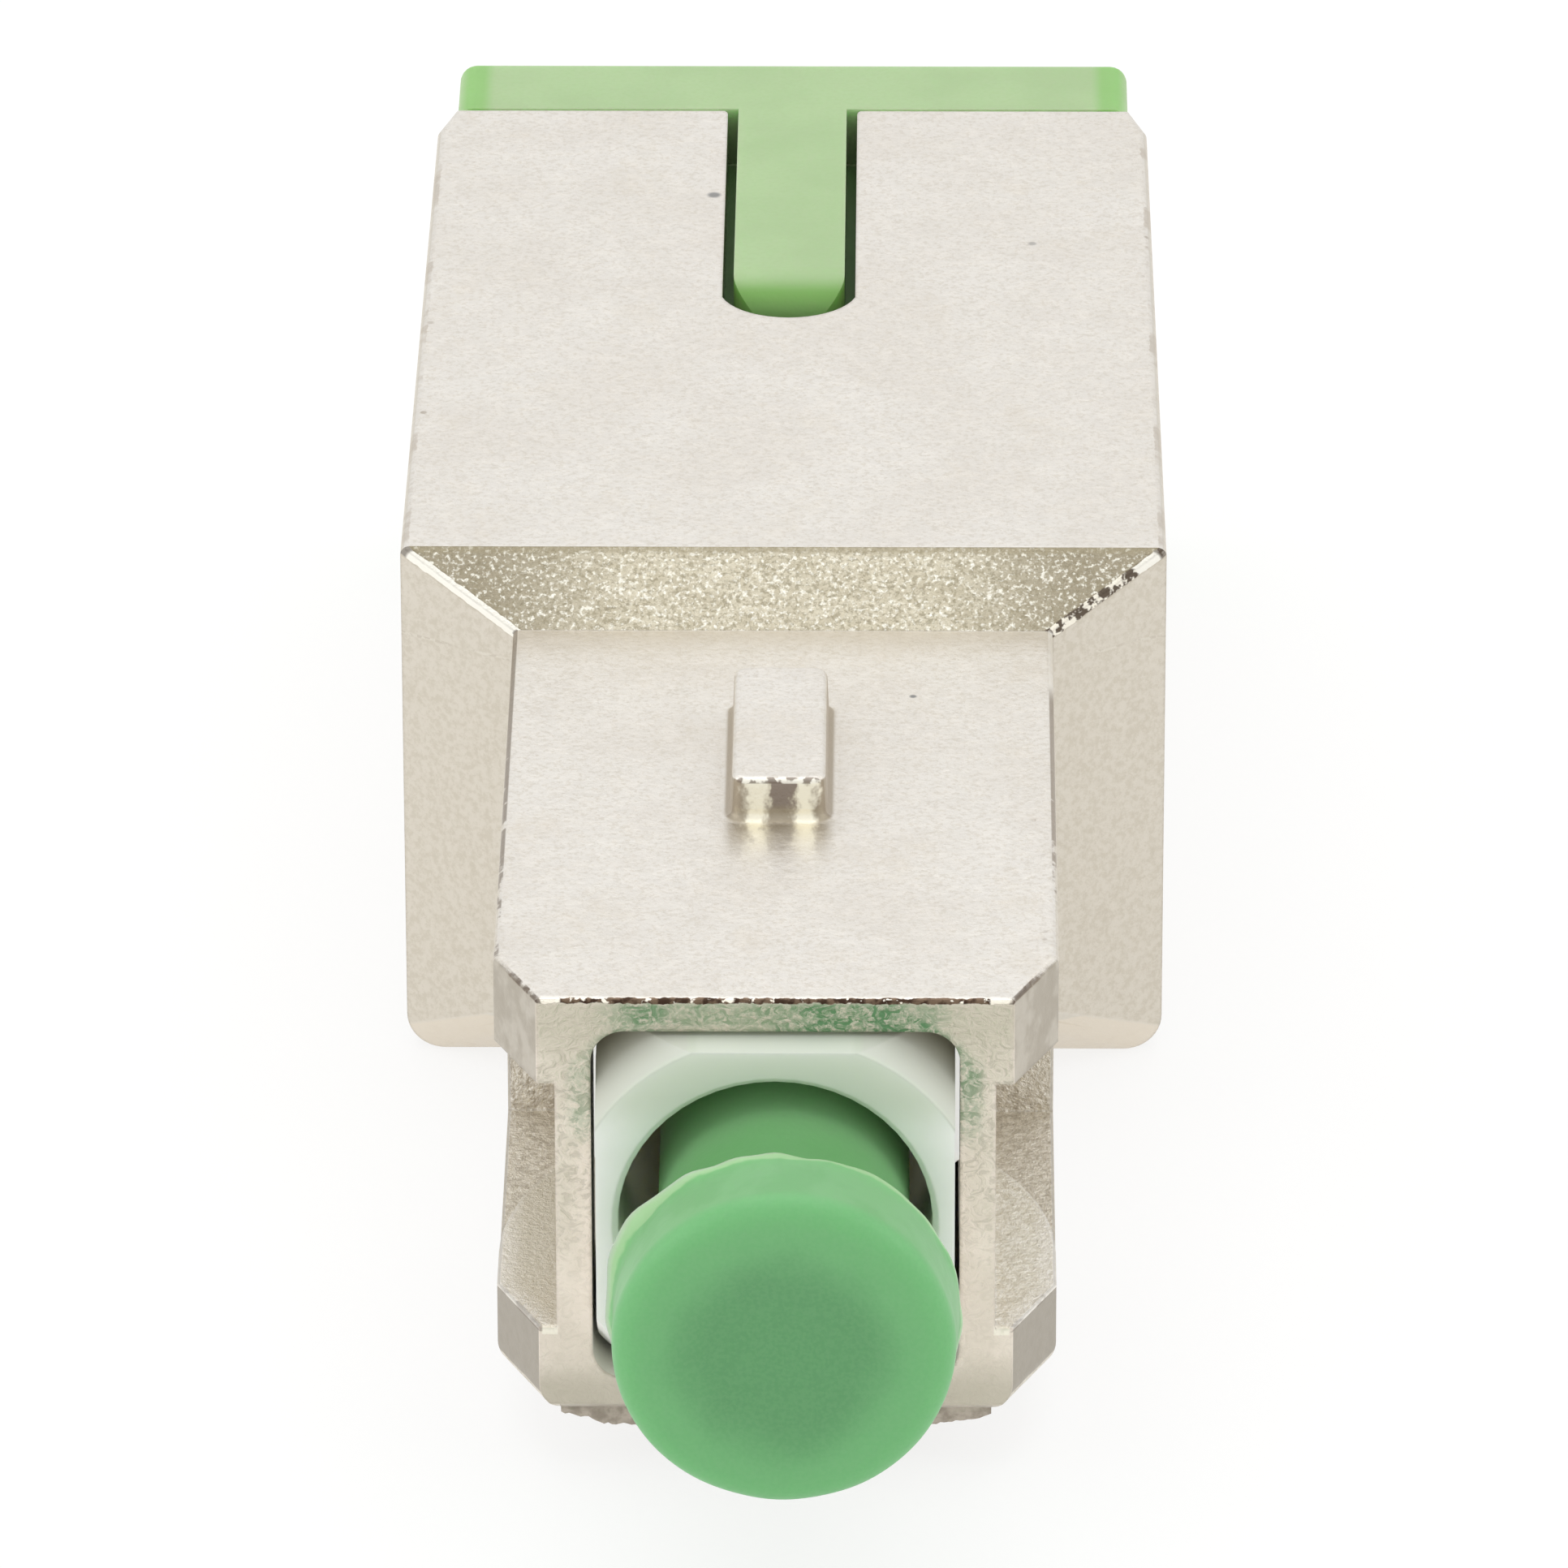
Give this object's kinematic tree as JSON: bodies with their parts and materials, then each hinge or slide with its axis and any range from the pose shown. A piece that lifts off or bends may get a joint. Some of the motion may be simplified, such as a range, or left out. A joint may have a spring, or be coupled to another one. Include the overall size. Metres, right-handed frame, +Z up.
{
  "type": "fiber optic attenuator",
  "caption": "Plug-type fixed fibre attenuator: square keyed metal plug with a capped ferrule, stepped body, and a keyed square socket closed by a green dust plug.",
  "frame": {"origin": "on the optical axis, in the plane of the plug's metal front face", "axes": "+Y along the optical axis, from the plug to the socket's mouth; +Z up, towards the key; +X to the right seen from the plug end"},
  "size_m": [0.0128, 0.0401, 0.0094],
  "materials": {
    "nickel_plate": "satin",
    "white_plastic": "satin",
    "insert_plastic": "satin",
    "zirconia": "polished",
    "glass_fibre": "polished",
    "turned_metal": "satin",
    "spring_steel": "polished",
    "cap_green": "satin",
    "dust_green": "satin"
  },
  "bodies": {
    "shell": {"outer_shell": "nickel_plate"},
    "core": {"plug_frame": "white_plastic", "latch_insert": "insert_plastic", "split_sleeve": "zirconia", "spring_seat": "turned_metal", "ferrule_spring": "spring_steel"},
    "ferrule_unit": {"ferrule": "zirconia", "attenuating_fibre": "glass_fibre", "ferrule_flange": "turned_metal"},
    "cap": {"ferrule_cap": "cap_green"},
    "dust_plug": {"socket_dust_plug": "dust_green"}
  },
  "joints": [
    {"name": "core_slide", "type": "slide", "parent": "shell", "child": "core", "axis": [0, -1, 0], "range_m": [-0.0006, 0.0012]},
    {"name": "ferrule_slide", "type": "slide", "parent": "core", "child": "ferrule_unit", "axis": [0, 1, 0], "range_m": [0, 0.0012], "stiffness_N_per_m": 3500, "springref_m": -0.002, "deforming": ["ferrule_spring"]},
    {"name": "cap_pull", "type": "slide", "parent": "ferrule_unit", "child": "cap", "axis": [0, -1, 0], "range_m": [0, 0.012]},
    {"name": "dust_plug_pull", "type": "slide", "parent": "shell", "child": "dust_plug", "axis": [0, 1, 0], "range_m": [0, 0.012]}
  ]
}
